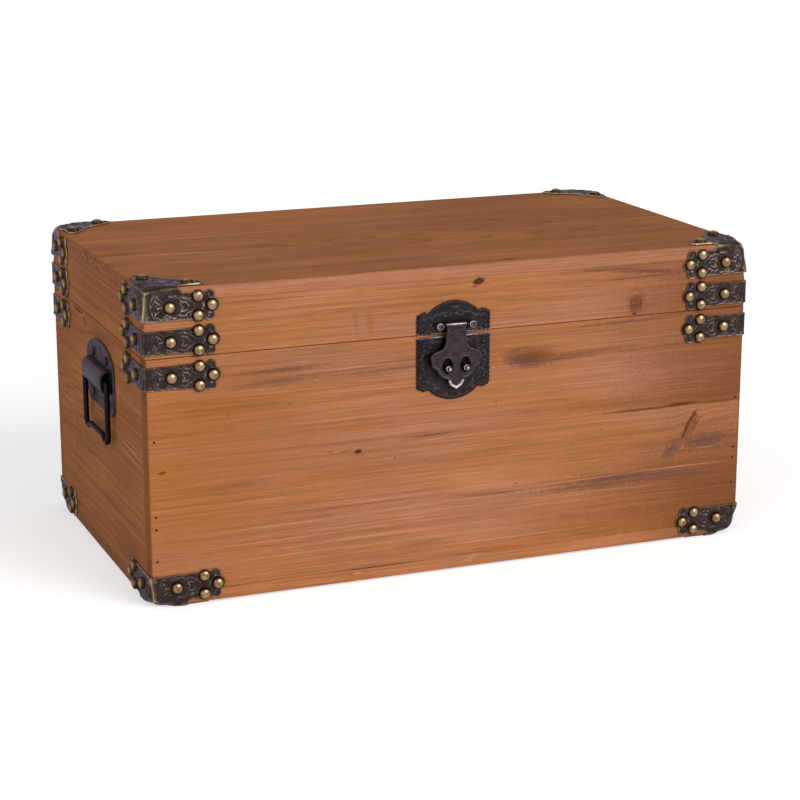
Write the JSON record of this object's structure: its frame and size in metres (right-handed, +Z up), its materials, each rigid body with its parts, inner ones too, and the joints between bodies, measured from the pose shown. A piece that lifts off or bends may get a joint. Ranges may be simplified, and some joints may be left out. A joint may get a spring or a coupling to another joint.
{
  "type": "sea chest",
  "caption": "Rectangular wooden chest with a hinged flat lid, pressed metal corner brackets, dome nails, a front hasp latch and a drop handle on each side.",
  "frame": {"origin": "bottom centre of the whole object's box, on the surface it stands on", "axes": "+X along the chest's length, to the right seen from the front; +Y to the back; +Z up"},
  "size_m": [0.3638, 0.2142, 0.1742],
  "materials": {
    "front_pine": "stained and waxed pine, satin",
    "side_pine": "stained and waxed pine, satin",
    "antique_bronze": "dark plated sheet with bright worn relief",
    "gunmetal": "dark plated stippled sheet",
    "worn_steel": "worn bright",
    "black_iron": "black lacquer, satin",
    "antique_brass": "dome nails, lightly polished"
  },
  "bodies": {
    "box": {"base_board": "side_pine", "front_strip_bottom": "front_pine", "front_strip_middle": "front_pine", "front_strip_top": "front_pine", "back_panel": "side_pine", "left_side_panel": "side_pine", "right_side_panel": "side_pine", "box_edge_bracket_front_left": "antique_bronze", "box_edge_bracket_front_right": "antique_bronze", "box_edge_bracket_back_left": "antique_bronze", "box_edge_bracket_back_right": "antique_bronze", "base_corner_front_left": "antique_bronze", "base_corner_front_right": "antique_bronze", "base_corner_back_left": "antique_bronze", "base_corner_back_right": "antique_bronze", "latch_lower_plate": "gunmetal", "latch_post_left": "worn_steel", "latch_post_right": "worn_steel", "left_handle_plate": "black_iron", "left_handle_screw_upper_front": "black_iron", "left_handle_screw_upper_back": "black_iron", "left_handle_screw_lower_front": "black_iron", "left_handle_screw_lower_back": "black_iron", "right_handle_plate": "black_iron", "right_handle_screw_upper_front": "black_iron", "right_handle_screw_upper_back": "black_iron", "right_handle_screw_lower_front": "black_iron", "right_handle_screw_lower_back": "black_iron", "left_hinge_lower_leaf": "black_iron", "left_hinge_pin": "black_iron", "left_hinge_screw_lower_left": "black_iron", "left_hinge_screw_lower_right": "black_iron", "right_hinge_lower_leaf": "black_iron", "right_hinge_pin": "black_iron", "right_hinge_screw_lower_left": "black_iron", "right_hinge_screw_lower_right": "black_iron"},
    "lid": {"lid_top_board": "side_pine", "lid_front_rail": "front_pine", "lid_back_rail": "side_pine", "lid_left_rail": "side_pine", "lid_right_rail": "side_pine", "lid_corner_front_left": "antique_bronze", "lid_corner_front_right": "antique_bronze", "lid_corner_back_left": "antique_bronze", "lid_corner_back_right": "antique_bronze", "lid_edge_bracket_front_left": "antique_bronze", "lid_edge_bracket_front_right": "antique_bronze", "lid_edge_bracket_back_left": "antique_bronze", "lid_edge_bracket_back_right": "antique_bronze", "latch_upper_plate": "gunmetal", "latch_pin": "worn_steel", "left_hinge_upper_leaf": "black_iron", "left_hinge_screw_upper_left": "black_iron", "left_hinge_screw_upper_right": "black_iron", "right_hinge_upper_leaf": "black_iron", "right_hinge_screw_upper_left": "black_iron", "right_hinge_screw_upper_right": "black_iron"},
    "hasp": {"latch_flap": "gunmetal"},
    "left_bail": {"left_handle_bail": "black_iron"},
    "right_bail": {"right_handle_bail": "black_iron"}
  },
  "joints": [
    {"name": "lid_hinge", "type": "hinge", "parent": "box", "child": "lid", "pos_m": [0, 0.10485, 0.1346], "axis": [-1, 0, 0], "range_deg": [0, 110]},
    {"name": "hasp_pivot", "type": "hinge", "parent": "lid", "child": "hasp", "pos_m": [-0.0044, -0.10175, 0.1396], "axis": [-1, 0, 0], "range_deg": [0, 150]},
    {"name": "left_bail_pivot", "type": "hinge", "parent": "box", "child": "left_bail", "pos_m": [-0.1787, -0.00805, 0.1066], "axis": [0, 1, 0], "range_deg": [0, 170]},
    {"name": "right_bail_pivot", "type": "hinge", "parent": "box", "child": "right_bail", "pos_m": [0.1787, -0.00805, 0.1066], "axis": [0, -1, 0], "range_deg": [0, 170]}
  ]
}
